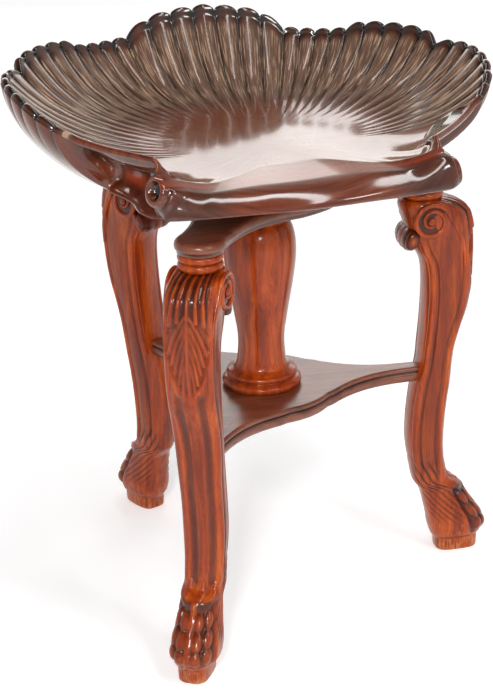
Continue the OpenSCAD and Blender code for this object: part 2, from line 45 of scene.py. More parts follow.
def spread(rows, at):
    """Smooth line through rows of (place, values...), read at each place of at."""
    rows = np.asarray(rows, float)
    x, y = rows[:, 0], rows[:, 1:]
    slope = np.empty_like(y)
    slope[1:-1] = (y[2:] - y[:-2]) / (x[2:] - x[:-2])[:, None]
    slope[0] = (y[1] - y[0]) / (x[1] - x[0])
    slope[-1] = (y[-1] - y[-2]) / (x[-1] - x[-2])
    at = np.clip(at, x[0], x[-1])
    i = np.clip(np.searchsorted(x, at, side="right") - 1, 0, len(x) - 2)
    h = (x[i + 1] - x[i])[..., None]
    t = (at - x[i])[..., None] / h
    return ((2 * t**3 - 3 * t**2 + 1) * y[i] + (t**3 - 2 * t**2 + t) * h * slope[i]
            + (3 * t**2 - 2 * t**3) * y[i + 1] + (t**3 - t**2) * h * slope[i + 1])


def skin(n, m):
    """Faces over a grid of n rows with m vertices in each, round which the grid closes."""
    faces = []
    for i in range(n - 1):
        for k in range(m):
            a, b = i * m + k, i * m + (k + 1) % m
            faces.append((a, b, b + m, a + m))
    return faces


def solid_of(grid, darkness=None, wear=None):
    """One closed shell: vertices in millimetres, faces, and its darkness and wear: dirt in the
    carving, and on the seat painted shade and painted reflections as well.
    A fan of faces to a vertex in the middle closes each end."""
    n, m = grid.shape[:2]
    ends = np.array([grid[0].mean(0), grid[-1].mean(0)])
    points = np.vstack([grid.reshape(-1, 3), ends])
    top = (n - 1) * m
    faces = skin(n, m)
    faces += [((k + 1) % m, k, n * m) for k in range(m)]
    faces += [(top + k, top + (k + 1) % m, n * m + 1) for k in range(m)]
    dark_share = np.zeros(len(points)) if darkness is None else np.append(darkness.reshape(-1), [0, 0])
    rub = np.zeros(len(points)) if wear is None else np.append(wear.reshape(-1), [0, 0])
    return points, faces, dark_share, rub


def piece(name, shells, body, node, material):
    """A piece from one or more shells, riding on its body in place of its node."""
    points, faces, dark_share, rub, start = [], [], [], [], 0
    for p, f, c, w in shells:
        points.append(p)
        faces += [tuple(v + start for v in face) for face in f]
        dark_share.append(c)
        rub.append(w)
        start += len(p)
    mesh = bpy.data.meshes.new(name)
    mesh.from_pydata((np.vstack(points) / 1000).tolist(), [], faces)
    for label, values in (("darkness", dark_share), ("wear", rub)):
        mesh.attributes.new(label, "FLOAT", "POINT").data.foreach_set(
            "value", np.concatenate(values).astype(np.float32))
    mesh.polygons.foreach_set("use_smooth", [True] * len(mesh.polygons))
    mesh.update()
    thing = bpy.data.objects.new(name, mesh)
    bpy.context.scene.collection.objects.link(thing)
    mesh.materials.append(material)
    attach(thing, body)
    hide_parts(node)
    return thing


def linear(code):
    """An sRGB hex colour as the linear colour that a shader takes."""
    part = [int(code[i:i + 2], 16) / 255 for i in (1, 3, 5)]
    return tuple(c / 12.92 if c <= 0.04045 else ((c + 0.055) / 1.055) ** 2.4 for c in part) + (1,)


def join(tree, kind, values=(), **settings):
    """Adds a node to a material, with its settings, and with its inputs set or linked."""
    node = tree.nodes.new("ShaderNode" + kind)
    for key, value in settings.items():
        setattr(node, key, value)
    for key, value in dict(values).items():
        if isinstance(value, bpy.types.NodeSocket):
            tree.links.new(value, node.inputs[key])
        else:
            node.inputs[key].default_value = value
    return node


def new_material(name):
    """A material with nodes, its node tree and its shader."""
    material = bpy.data.materials.new(name)
    material.use_nodes = True
    return material, material.node_tree, material.node_tree.nodes["Principled BSDF"]


def stops(ramp, *points):
    """Sets a colour ramp's stops from (place, hex colour) pairs."""
    bar = ramp.color_ramp
    while len(bar.elements) < len(points):
        bar.elements.new(0.5)
    for element, (place, code) in zip(bar.elements, points):
        element.position = place
        element.color = linear(code)
    return ramp.outputs["Color"]


def polished_mahogany(name, dark, mid, light, pit, rubbed, along, rough, veil, worked=False):
    """French-polished mahogany: a red-brown wood with long dark pores under thin shellac. The eye
    sees warm streaks along the grain, near-black dirt in the carving and a soft wet gloss. Where a
    piece's darkness attribute holds them, painted shade and painted dark reflections darken it too."""
    material, tree, shader = new_material(name)
    place = join(tree, "TexCoord").outputs["Object"]
    rub = join(tree, "Attribute", attribute_name="wear").outputs["Fac"]
    # On the worked shell the streaks are the gouge's, and run out along the ribs.
    course = place
    if worked:
        course = join(tree, "Attribute", attribute_name="flow").outputs["Vector"]

    def lines(across, length):
        """Coordinates for a figure so wide and so long, in mm, along the grain."""
        return join(tree, "Mapping", {"Vector": course, "Scale":
            [1000 / (length if axis == along else across) for axis in "xyz"]}).outputs["Vector"]

    # Ribbon figure 9 mm wide and 120 mm long, as on quarter-sawn boards. The gouge's streaks on the
    # worked shell are 5 mm wide and 90 mm long.
    figure = lines(5, 90) if worked else lines(9, 120)
    grain = join(tree, "TexNoise", {"Vector": figure, "Scale": 1, "Detail": 5,
        "Roughness": 0.6, "Distortion": 0.4})
    wood = stops(join(tree, "ValToRGB", {"Fac": grain.outputs["Fac"]}),
        (0.28 if worked else 0.22, dark), (0.5, mid), (0.74 if worked else 0.8, light))
    if worked:
        # The ribs have faded and dulled to a grey brown, and the lip is still red.
        open_ribs = join(tree, "Math", {0: rub, 1: 2.0}, operation="MULTIPLY",
            use_clamp=True)
        wood = join(tree, "Mix", {"Factor": open_ribs.outputs[0], "A": wood,
            "B": linear("#5f4f45")}, data_type="RGBA").outputs["Result"]
        kept = join(tree, "Math", {0: rub, 1: -1.0}, operation="MULTIPLY", use_clamp=True)
        wood = join(tree, "Mix", {"Factor": kept.outputs[0], "A": wood,
            "B": linear("#96381a")}, data_type="RGBA").outputs["Result"]
        # Sitters have rubbed most of the shellac off the ribs.
        left = join(tree, "MapRange", {"Value": open_ribs.outputs[0], "To Min": veil,
            "To Max": 0.3 * veil})
        tree.links.new(left.outputs["Result"], shader.inputs["Coat Weight"])
    # Pores are 0.25 mm wide and 4 mm long. They are drawn 0.8 mm by 14 mm, so that they show.
    pores = join(tree, "TexNoise", {"Vector": lines(0.8, 14), "Scale": 1, "Detail": 2})
    pore = join(tree, "MapRange", {"Value": pores.outputs["Fac"], "From Min": 0.34,
        "From Max": 0.5, "To Min": 0.6, "To Max": 1.0})
    wood = join(tree, "Mix", {"Factor": pore.outputs["Result"], "A": linear(dark),
        "B": wood}, data_type="RGBA")
    # Old polish and dirt lie in patches of 30 to 60 mm, and dark in every groove. The same mix also
    # lays down the seat's painted shade and painted dark reflections, from the darkness attribute.
    patch = join(tree, "TexNoise", {"Vector": place, "Scale": 24, "Detail": 3})
    dark_share = join(tree, "Attribute", attribute_name="darkness")
    depth = join(tree, "Math", {0: dark_share.outputs["Fac"], 1: -1.0}, operation="MULTIPLY")
    patchy = join(tree, "Math", {0: patch.outputs["Fac"], 1: 0.9, 2: 0.55},
        operation="MULTIPLY_ADD")
    darkening = join(tree, "Math", {0: depth.outputs[0], 1: patchy.outputs[0]},
        operation="MULTIPLY", use_clamp=True)
    aged_and_shaded = join(tree, "Mix", {"Factor": darkening.outputs[0], "A": wood.outputs["Result"],
        "B": linear(pit)}, data_type="RGBA")
    # Wear: the soles and high places are rubbed to lighter wood in chips 2 mm by 9 mm, and the
    # seat's ribs are scratched along their length. Scratches are 0.3 mm wide. They are drawn
    # 1.5 mm by 30 mm, so that they show.
    marks = lines(1.5, 30) if worked else lines(2, 9)
    first, full = (0.9, 1.03) if worked else (0.98, 1.25)
    chips = join(tree, "TexNoise", {"Vector": marks, "Scale": 1, "Detail": 4,
        "Roughness": 0.6})
    edge = join(tree, "Math", {0: chips.outputs["Fac"], 1: rub}, operation="ADD")
    bare = join(tree, "MapRange", {"Value": edge.outputs[0], "From Min": first,
        "From Max": full, "To Max": 0.75})
    tone = join(tree, "Mix", {"Factor": bare.outputs["Result"],
        "A": aged_and_shaded.outputs["Result"], "B": linear(rubbed)}, data_type="RGBA")
    gloss = join(tree, "MapRange", {"Value": patch.outputs["Fac"], "From Min": 0.3,
        "From Max": 0.7, "To Min": rough, "To Max": rough + 0.14})
    dull = join(tree, "Math", {0: bare.outputs["Result"], 1: 0.2,
        2: gloss.outputs["Result"]}, operation="MULTIPLY_ADD")
    # Pores, and shallow dents about 7 mm across, break up the gloss.
    dents = join(tree, "TexNoise", {"Vector": place, "Scale": 150, "Detail": 3})
    height = join(tree, "Math", {0: pores.outputs["Fac"], 1: 0.25,
        2: dents.outputs["Fac"]}, operation="MULTIPLY_ADD")
    bump = join(tree, "Bump", {"Height": height.outputs[0], "Strength": 0.3,
        "Distance": 0.0006})
    for key, value in (("Base Color", tone.outputs["Result"]), ("Roughness", dull.outputs[0]),
            ("Normal", bump.outputs["Normal"])):
        tree.links.new(value, shader.inputs[key])
    shader.inputs["IOR"].default_value = 1.5
    shader.inputs["Specular IOR Level"].default_value = 0.15
    # Shellac: a clear warm coat, softened by a century of hands.
    shader.inputs["Coat Weight"].default_value = veil
    shader.inputs["Coat Roughness"].default_value = rough - 0.16
    shader.inputs["Coat IOR"].default_value = 1.5
    shader.inputs["Coat Tint"].default_value = linear("#fff0dc")
    return material


upright_mahogany = polished_mahogany("french_polished_mahogany_upright", dark="#541502",
    mid="#9a3a08", light="#c86018", pit="#2a0903", rubbed="#c88452", along="z", rough=0.28,
    veil=0.48)

column_r, column_foot, column_head = 32.7, 195.0, 373.0
peg_r, shelf_under, head_r, frame_top = 12.0, 180.5, 24.0, 385.0
# The bore is wide at its mouth for the nut, and narrower below for the screw and its washer.
nut_bore_r, nut_under, screw_bore_r, screw_bore_end = 16.29, 345.7, 14.5, 235.4
# The turned shape, as (share of the height, share of column_r).
column_shares = [(0, 1.02), (0.006, 1.065), (0.018, 1.105), (0.031, 1.105), (0.042, 1.06),
    (0.049, 1.0), (0.053, 0.955), (0.058, 0.955), (0.065, 0.985), (0.075, 0.985), (0.084, 0.95),
    (0.092, 0.87), (0.1, 0.79), (0.11, 0.735), (0.126, 0.7), (0.15, 0.675), (0.19, 0.655),
    (0.24, 0.645), (0.29, 0.66), (0.35, 0.71), (0.43, 0.78), (0.51, 0.86), (0.59, 0.93),
    (0.66, 0.98), (0.73, 1.0), (0.79, 0.98), (0.84, 0.92), (0.872, 0.84), (0.885, 0.79),
    (0.898, 0.79), (0.906, 0.85), (0.92, 0.905), (0.94, 0.915), (0.958, 0.88), (0.968, 0.85),
    (1, 0.85)]
share = np.concatenate([np.linspace(0, 0.13, 66), np.linspace(0.135, 0.86, 70),
    np.linspace(0.865, 1, 60)])
profile = np.column_stack([spread(column_shares, share)[:, 0] * column_r,
    column_foot + share * (column_head - column_foot)])
profile = np.vstack([[(2, shelf_under), (peg_r, shelf_under), (peg_r, column_foot)], profile,
    [(head_r, column_head), (head_r, frame_top), (nut_bore_r, frame_top), (nut_bore_r, nut_under),
    (screw_bore_r, nut_under), (screw_bore_r, screw_bore_end)]])


def lathe(profile, steps, middle=(0, 0)):
    """A turned shell from rows of (radius, height)."""
    turn = np.linspace(0, 2 * np.pi, steps, endpoint=False)
    r, z = profile[:, :1], profile[:, 1:]
    return np.dstack([middle[0] + r * np.cos(turn), middle[1] + r * np.sin(turn),
        z + 0 * turn])


def along_rows(values, count):
    """One value for each row of a grid, repeated for every vertex of that row."""
    return np.repeat(np.array(values, float)[:, None], count, 1)


# Old dirt lies in the sharp hollows of the turning.
hollow = np.gradient(np.gradient(profile[:, 0]))
column_dirt = np.where(hollow > 0.25, -0.5, 0)
column_steps = 128
piece("turned_column", [solid_of(lathe(profile, column_steps), along_rows(column_dirt, column_steps))],
    "stand", "column", upright_mahogany)


# Shelf and top frame
# Both are sawn from flat boards with three arms, and have a moulding worked round the edge. The
# shelf is housed into the legs; the frame lies on their necks, with a round lobe over each.

neck_angles = (239.3, 1.0, 124.0)
paw_angles = (239.3, 1.0, 118.0)
neck_reach = 151.0
shelf_angles = tuple((a + b) / 2 for a, b in zip(neck_angles, paw_angles))
# Room for glue round the column's peg and head.
glue_gap = 0.05
flat_mahogany = polished_mahogany("french_polished_mahogany_flat", dark="#4a2216",
    mid="#74402f", light="#8c5742", pit="#1b0705", rubbed="#b08060", along="x", rough=0.42,
    veil=0.9)


def board_outline(angles, middle_r, root_x, root_half, end_x, end_half, lobe=0.0):
    """Outline of a board with three arms, from one arm's end round to the next, evenly spaced."""
    def half(x):
        """Half the arm's width at a distance from the middle."""
        t = np.clip((x - root_x) / (end_x - root_x), 0, 1)
        return end_half + (root_half - end_half) * (1 - t) ** 2.8
    x = np.linspace(root_x, end_x, 200)
    keep = np.hypot(x, half(x)) > middle_r
    if lobe:
        keep &= np.hypot(x - end_x, half(x)) > lobe
    x = x[keep]
    side = np.column_stack([x, half(x)])
    line = []
    for k, angle in enumerate(angles):
        if lobe:
            start = math.atan2(-side[-1, 1], side[-1, 0] - end_x)
            bend = np.linspace(start, -start, 60)[1:-1]
            tip = np.column_stack([end_x + lobe * np.cos(bend), lobe * np.sin(bend)])
        else:
            tip = np.column_stack([np.full(12, end_x), np.linspace(-end_half, end_half, 12)])
        arm = np.vstack([side * (1, -1), tip, side[::-1]])
        c, s = math.cos(math.radians(angle)), math.sin(math.radians(angle))
        line.append(arm @ np.array([[c, s], [-s, c]]))
        # The middle's round edge runs from this arm's root to the next one's.
        first = math.radians(angle) + math.atan2(side[0, 1], side[0, 0])
        last = math.radians(angles[(k + 1) % 3]) - math.atan2(side[0, 1], side[0, 0])
        while last < first:
            last += 2 * math.pi
        arc = np.linspace(first, last, 24)[1:-1]
        line.append(middle_r * np.column_stack([np.cos(arc), np.sin(arc)]))
    line = np.vstack(line)
    # The outline is spaced evenly and its corners are softened, twice.
    for _ in range(2):
        closed = np.vstack([line, line[:1]])
        run = np.append(0, np.cumsum(np.hypot(*np.diff(closed, axis=0).T)))
        at = np.linspace(0, run[-1], 900, endpoint=False)
        line = np.column_stack([np.interp(at, run, closed[:, 0]), np.interp(at, run, closed[:, 1])])
        for _ in range(10):
            line = line / 2 + (np.roll(line, 1, 0) + np.roll(line, -1, 0)) / 4
    return line


def board(line, edge, under, top, darkness, hole_r):
    """A board from its outline, with a round hole for the column's peg or head. edge has rows of
    (height over the underside, inset)."""
    ahead = np.roll(line, -1, 0) - np.roll(line, 1, 0)
    out = np.column_stack([ahead[:, 1], -ahead[:, 0]]) / np.hypot(*ahead.T)[:, None]
    # A narrow row beside each edge keeps the flat faces flat under smooth shading.
    margin, hole_margin = 0.6, 0.8
    steps = [(0, edge[0][1] + margin)] + list(edge) + [(top - under, edge[-1][1] + margin)]
    dark_shares = [0] + list(darkness) + [0]
    rows = [np.column_stack([line - out * inset, np.full(len(line), under + height)])
        for height, inset in steps]
    toward = np.arctan2(line[:, 1], line[:, 0])
    for r, z in ((hole_r + hole_margin, top), (hole_r, top), (hole_r, under),
            (hole_r + hole_margin, under)):
        rows.append(np.column_stack([r * np.cos(toward), r * np.sin(toward), np.full(len(line), z)]))
        dark_shares.append(0)
    n, m = len(rows), len(line)
    last = (n - 1) * m
    faces = skin(n, m)
    faces += [(last + k, last + (k + 1) % m, (k + 1) % m, k) for k in range(m)]
    return np.vstack(rows), faces, np.repeat(np.array(dark_shares, float), m), np.zeros(n * m)


# The shelf's edge: a small bead, a dark quirk under it and a rounded belly.
shelf_line = board_outline(shelf_angles, middle_r=67.2, root_x=57.1, root_half=40.3, end_x=150.8,
    end_half=8.5)
shelf_edge = [(0, 3.0), (0.2, 2.2), (0.8, 1.5), (1.8, 0.8), (3.2, 0.3), (5, 0.0), (6.8, 0.15),
    (8.2, 0.7), (9, 1.4), (9.3, 2.0), (9.7, 2.1), (10.1, 1.4), (10.8, 0.7), (11.9, 0.3),
    (13, 0.45), (13.9, 1.0), (14.35, 1.8), (14.5, 2.7), (14.5, 3.6)]
shelf_cut = [0, 0, 0, 0, 0, 0, -0.1, -0.4, -0.8, -1, -1, -0.8, -0.2, 0, 0, 0, 0, 0, 0]
piece("shelf_board",
    [board(shelf_line, shelf_edge, shelf_under, column_foot, shelf_cut, peg_r + glue_gap)],
    "stand", "shelf", flat_mahogany)

# The frame's edge: a fillet set back below, and a full round over it, dark where they meet.
frame_line = board_outline(neck_angles, middle_r=75.5, root_x=48.3, root_half=59.6,
    end_x=neck_reach, end_half=20.4, lobe=21.5)
frame_edge = [(0, 4.0), (0.1, 2.9), (0.5, 2.2), (1.2, 2.0), (3.2, 2.0), (3.6, 1.6), (4.0, 0.8),
    (4.8, 0.25), (6.2, 0.0), (7.6, 0.1), (9, 0.5), (10.2, 1.2), (11.2, 2.3), (11.8, 3.6),
    (12, 5.0)]
frame_cut = [0, 0, 0, -0.3, -0.9, -0.7, -0.2, 0, 0, 0, 0, 0, 0, 0, 0]
piece("top_frame_board",
    [board(frame_line, frame_edge, column_head, frame_top, frame_cut, head_r + glue_gap)],
    "stand", "top_frame", flat_mahogany)


# Legs
# Each cabriole leg is one carving of solid mahogany: a turned neck, a scroll on each side of the
# knee, an acanthus leaf, flutes down the shank and a paw on a plain block. Dowels hold the neck.

paw_reach, knee_w, knee_depth = 220.5, 46.0, 53.0
sole_h, leg_top, scroll_middle = 8.0, 359.0, 343.7
knee_top, neck_r, leaf_foot, leaf_ground = 343.0, 19.2, 262, 2.8
# The leg as shares: height, inner and outer edge from the side, and width from the front. A reach
# of 1 is paw_reach at the floor and reach_share times neck_reach at the top, and a depth of
# knee_share is knee_depth.
knee_share, reach_share = 0.24, 1.46
leg_rows = [(0, 0.765, 0.945, 0.56), (0.012, 0.758, 0.955, 0.6), (0.021, 0.746, 0.972, 0.76),
    (0.031, 0.736, 0.99, 0.95), (0.05, 0.726, 1, 1.02),
    (0.077, 0.719, 0.988, 1.015), (0.098, 0.712, 0.965, 0.966),
    (0.116, 0.705, 0.945, 0.93), (0.134, 0.698, 0.926, 0.9), (0.151, 0.69, 0.91, 0.867),
    (0.168, 0.681, 0.895, 0.843), (0.183, 0.67, 0.862, 0.8), (0.196, 0.662, 0.821, 0.772),
    (0.228, 0.651, 0.807, 0.772), (0.262, 0.643, 0.797, 0.784), (0.305, 0.635, 0.791, 0.819),
    (0.348, 0.634, 0.792, 0.831), (0.396, 0.638, 0.797, 0.831), (0.442, 0.646, 0.805, 0.837),
    (0.49, 0.658, 0.815, 0.855), (0.541, 0.676, 0.819, 0.89), (0.59, 0.683, 0.829, 0.914),
    (0.647, 0.69, 0.855, 0.926), (0.698, 0.693, 0.882, 0.938), (0.747, 0.694, 0.896, 0.95),
    (0.795, 0.69, 0.903, 0.955), (0.832, 0.678, 0.905, 0.965), (0.866, 0.649, 0.907, 0.98),
    (0.925, 0.612, 0.901, 1), (0.962, 0.594, 0.888, 1), (0.988, 0.58, 0.868, 0.97),
    (1, 0.58, 0.845, 0.92)]
# Leaflets of the acanthus as (points of (side, height), half the width at the root and at the tip,
# rise), in mm. The first is the middle vein, and the others are carved on both sides of it.
leaflets = [
    ([(0, 360), (0, 344), (0, 322), (0, 300), (0, 262)], 1.5, 1.9, 2.9),
    ([(6.6, 360), (7.6, 346), (8.6, 329)], 1.3, 2.3, 3.2),
    ([(13, 360), (14.8, 346), (16.4, 325)], 1.3, 2.4, 3.3),
    ([(19.6, 359), (22, 346), (24, 324)], 1.3, 2.4, 3.2),
    ([(26, 356), (28, 344), (29.5, 331)], 1.2, 2.2, 2.8),
    ([(1, 334), (6, 327), (12.5, 316), (18.5, 300)], 1.3, 2.5, 2.7),
    ([(1, 328), (5.4, 319), (10.6, 308), (15, 291)], 1.2, 2.3, 2.5),
    ([(1, 320), (4.4, 311), (8.6, 300), (11.8, 284)], 1.1, 2.1, 2.4),
    ([(1, 310), (3.4, 301), (6.4, 290), (8.6, 275)], 1.1, 1.9, 2.3),
    ([(0.8, 298), (2.4, 289), (4.2, 278), (5.4, 266)], 1.0, 1.7, 2.1),
    ([(19.5, 317), (23, 309), (24.5, 297)], 1.3, 2.3, 2.3),
]


def knob(gap, half):
    """A rounded section: 1 in the middle and 0 at half away from it."""
    return np.sqrt(np.clip(1 - (gap / half) ** 2, 0, 1))


def ease(t):
    """0 to 1 with a soft start and end."""
    t = np.clip(t, 0, 1)
    return t * t * (3 - 2 * t)


def within(value, low, high, soft):
    """1 between low and high, running out to 0 over soft at both ends."""
    return ease(np.minimum(value - low, high - value) / soft)


def stroke(side, height, points, root, tip, rise):
    """Height of one rounded leaflet along a line of points. It swells towards its tip."""
    points = np.array(points, float)
    run = np.append(0, np.cumsum(np.hypot(*np.diff(points, axis=0).T)))
    at = np.linspace(0, run[-1], 14)
    points = spread(np.column_stack([run, points]), at)
    best = np.full(side.shape, 1e9)
    share = np.zeros(side.shape)
    for i in range(len(points) - 1):
        (x, z), (dx, dz) = points[i], points[i + 1] - points[i]
        t = np.clip(((side - x) * dx + (height - z) * dz) / (dx * dx + dz * dz), 0, 1)
        gap = np.hypot(side - x - t * dx, height - z - t * dz)
        near = gap < best
        best = np.where(near, gap, best)
        share = np.where(near, (i + t) / (len(points) - 1), share)
    half = root + (tip - root) * share
    return rise * (0.45 + 0.55 * share) * knob(best, half)


def carved_leg(k):
    """The leg's body as rings, with its carving worked along the normal of each ring."""
    s = np.concatenate([np.linspace(0, 0.2, 84, endpoint=False),
        np.linspace(0.2, 0.7, 90, endpoint=False), np.linspace(0.7, 1, 112)])
    height = sole_h + (leg_top - sole_h) * s
    inner, outer, width = spread(leg_rows, s).T
    middle = (paw_reach + (neck_reach * reach_share - paw_reach) * s) * (inner + outer) / 2
    half_x = knee_depth / knee_share * (outer - inner) / 2
    half_y = knee_w / 2 * width
    steps = 176
    turn = np.linspace(-np.pi, np.pi, steps, endpoint=False)
    cos, sin = np.cos(turn), np.sin(turn)
    x = middle[:, None] + half_x[:, None] * np.sign(cos) * np.abs(cos) ** 0.8
    y = half_y[:, None] * np.sign(sin) * np.abs(sin) ** 0.8
    # The knee's top draws in to the turned neck.
    near_top = np.clip((height - knee_top) / (leg_top - knee_top), 0, 1)
    draw = (1 - np.sqrt(1 - near_top ** 2))[:, None]
    x = x + (neck_reach + neck_r * cos - x) * draw
    y = y + (neck_r * sin - y) * draw
    ax, ay = np.roll(x, -1, 1) - np.roll(x, 1, 1), np.roll(y, -1, 1) - np.roll(y, 1, 1)
    size = np.hypot(ax, ay)
    nx, ny = ay / size, -ax / size
    step = np.hypot(np.diff(x, axis=1), np.diff(y, axis=1))
    along = np.hstack([np.zeros((len(s), 1)), np.cumsum(step, 1)])
    along = along - along[:, [steps // 2]]
    z = height[:, None] + 0 * x
    # The front leg's carving stands a little round to the right of the leg's own middle.
    shift = (3.4, 0.0, 0.0)[k]
    side = along - shift
    edge = np.abs(side) - 0.98 * half_y[:, None]
    spacing = 8.2 + 1.8 * np.clip((z - 120) / 120, 0, 1)
    # Two flutes and a fine pair of lines between them run down the shank. A bead follows each
    # edge, with a groove beside it.
    carve = -2.3 * knob(np.abs(side) - spacing, 3.9) * within(z, 74, 268, 9)
    carve += -0.6 * knob(np.abs(side) - 2.6, 1.3) * within(z, 74, leaf_foot, 9)
    carve += -1.0 * knob(edge + 3.9, 1.2) * within(z, leaf_foot, 334, 9)
    carve += 1.0 * knob(edge, 2.9) * within(z, 76, 330, 9)
    carve += -1.5 * knob(edge - 5.2, 1.9) * within(z, 80, 352, 9)
    # Side panels are scooped a little, and the inner edge carries a bead.
    angle = np.degrees(turn)[None, :] + 0 * x
    carve += -1.1 * within(np.abs(angle), 66, 132, 20) * within(z, 86, 336, 14)
    back = along[:, [int(steps * (180 + 140) / 360)]]
    carve += 1.4 * knob(np.abs(along) - back, 3.0) * within(z, 80, 334, 12)
    carve += -1.3 * knob(np.abs(along) - back + 5.2, 1.8) * within(z, 80, 334, 12)
    # Tufts over the paw.
    for place in (-12.5, 0, 12.5):
        tuft = 1.8 * knob(np.hypot(side - place, (z - 77) / 1.9), 3.6)
        carve = np.where(tuft > 0, np.maximum(carve, tuft), carve)
    # The ground round the leaf is cut back, and its leaflets stand up from it.
    leaf = np.zeros(x.shape)
    high = height > leaf_foot - 10
    for points, root, tip, rise in leaflets:
        got = stroke(np.abs(side[high]), z[high], points, root, tip, rise)
        leaf[high] = np.maximum(leaf[high], got)
    ground = within(z, leaf_foot + 0.08 * side**2, 380, 6) * within(np.abs(side), -1, 24, 3)
    carve = np.where(z > leaf_foot, carve * (1 - ground) - leaf_ground * ground, carve)
    carve = np.where(leaf > 0.02, np.maximum(carve, leaf - leaf_ground), carve)
    # Toes: four, each with three round knuckles, which stand a little higher on the outer toes.
    toe_pitch = 36
    rank = np.clip(np.round((angle - toe_pitch / 2) / toe_pitch), -2, 1)
    aside = (angle - toe_pitch / 2 - toe_pitch * rank) / 18.5
    ball = np.zeros(x.shape)
    for knuckle, half in ((54, 7.4), (40, 8), (26, 8)):
        level = knuckle + 1.4 * np.abs(rank + 0.5)
        ball = np.maximum(ball, knob(np.hypot(aside, (z - level) / half), 1))
    lobe = np.abs(np.sin(np.pi * angle / toe_pitch)) ** 0.6
    front = within(np.abs(angle), -1, 82, 10)
    toes = front * (3.6 * (ball - 1) + 0.5 * (lobe - 1)) * within(z, 13, 72, 10)
    # Sinews run slanting down the paw's sides from the ankle.
    sinew = within(np.abs(angle), 72, 160, 14) * within(z, 27, 104, 15)
    sinew *= 1.8 * (np.abs(np.sin(np.pi * (np.abs(side) - 0.4 * (z - 40)) / 7.5)) ** 0.5 - 1)
    carve = np.where(z < 72, toes, carve) + sinew - 2.1 * within(z, 10, 76, 12)
    x, y = x + carve * nx, y + carve * ny
    turned = np.radians(paw_angles[k] + (neck_angles[k] - paw_angles[k]) * s)[:, None]
    grid = np.dstack([x * np.cos(turned) - y * np.sin(turned),
        x * np.sin(turned) + y * np.cos(turned), z])
    # Dirt lies in what is cut, round the leaflets and between the toes.
    darkening = np.clip(carve / 3.2, -1, 0) * np.where(np.abs(side) < spacing + 4, 0.95, 1)
    lower = 0.9 - 0.4 * ease((330 - z) / 10)
    round_leaf = -lower * ground * np.clip(1 - leaf / 2.2, 0, 1)
    darkening = np.where((ground > 0.2) & (z > leaf_foot - 4), round_leaf, darkening)
    between_toes = -front * np.clip(1.2 - ball, 0, 0.9) * within(z, 16, 76, 9)
    darkening = np.where(z < 70, between_toes + 0.6 * sinew, darkening + 0.5 * sinew)
    # The leaflets' tops, the knuckles and the paw's foot are rubbed.
    rub = (0.28 * np.clip((leaf - 2.6) / 0.8, 0, 1)
        + 0.35 * (z < 70) * np.clip((ball - 0.9) * 8, 0, 1) * front
        + 0.44 * ease((38 - 14 * front - z) / 8))
    return solid_of(grid, darkening, rub)


def bead(path, half, rise, out):
    """A moulding swept along a path: half its width, rise over the path and out, its up side."""
    path, half, rise = np.asarray(path, float), np.asarray(half, float), np.asarray(rise, float)
    ahead = np.gradient(path, axis=0)
    ahead /= np.linalg.norm(ahead, axis=1)[:, None]
    up = np.broadcast_to(out, path.shape)
    across = np.cross(ahead, up)
    across /= np.linalg.norm(across, axis=1)[:, None]
    turn = np.linspace(0, 2 * np.pi, 14, endpoint=False)
    return np.stack([p + np.outer(np.cos(turn) * h, a) + np.outer(np.sin(turn) * r, u)
        for p, h, r, a, u in zip(path, half, rise, across, up)])


def turned_by(points, degrees):
    """Points turned around the stool's axis."""
    c, s = math.cos(math.radians(degrees)), math.sin(math.radians(degrees))
    x, y = points[..., 0], points[..., 1]
    return np.stack([x * c - y * s, x * s + y * c, points[..., 2]], -1)


def leg_scroll(k, side):
    """The scroll on one side of a knee: a disc, its spiral moulding and a round eye."""
    face = side * knee_w / 2
    eye_r, eye_z = neck_reach + 2.2, scroll_middle - 2.4
    dome_r, dome_h = 3.7, 2.2
    out = np.array([0, side, 0.0])
    ring = np.linspace(0, 2 * np.pi, 72, endpoint=False)
    rows = [(15.2, -22), (15.2, -2), (15.6, -1.4), (15.4, -0.7), (14.6, -0.4), (11, -0.3), (6, -0.3),
        (0.5, -0.3)]
    disc = np.stack([np.column_stack([eye_r + r * np.cos(side * ring),
        np.full(len(ring), face + side * h), eye_z + r * np.sin(side * ring)])
        for r, h in rows])[:, ::-1]
    # Its moulding runs up the knee's outer edge, over the top and round into the eye.
    t = np.linspace(0, 1, 130)
    swing = np.radians(18 + 640 * t)
    reach = spread([(0, 17.4), (0.12, 15.4), (0.3, 14.2), (0.55, 11.4), (0.75, 8.2), (0.9, 5.6),
        (1, 4.2)], t)[:, 0]
    spiral = np.column_stack([eye_r + reach * np.cos(swing), np.full(len(t), face - side * 0.2),
        eye_z + reach * np.sin(swing)])
    tail = spread([(0, 187, side * 19, 292), (0.3, 185.5, side * 20.4, 311), (0.65, 179.5,
        side * 21.8, 329), (1, *spiral[0])], np.linspace(0, 1, 26)[:-1])
    path = np.vstack([tail, spiral])
    half = np.concatenate([np.linspace(1.2, 2.6, len(tail)), np.linspace(2.6, 1.5, len(t))])
    rise = np.concatenate([np.linspace(0.6, 1.9, len(tail)), np.linspace(1.9, 2.1, len(t))])
    moulding = bead(path, half, rise, out)[:, ::-1]
    dome = np.stack([np.column_stack([eye_r + dome_r * np.cos(a) * np.cos(side * ring),
        np.full(len(ring), face + side * dome_h * np.sin(a)),
        eye_z + dome_r * np.cos(a) * np.sin(side * ring)])
        for a in np.radians(np.linspace(0, 88, 9))])[:, ::-1]
    shells = []
    for grid, level in ((disc, -0.9), (moulding, 0.0), (dome, 0.0)):
        dark_share = np.full(grid.shape[:2], level)
        shells.append(solid_of(turned_by(grid, neck_angles[k]), dark_share))
    return shells


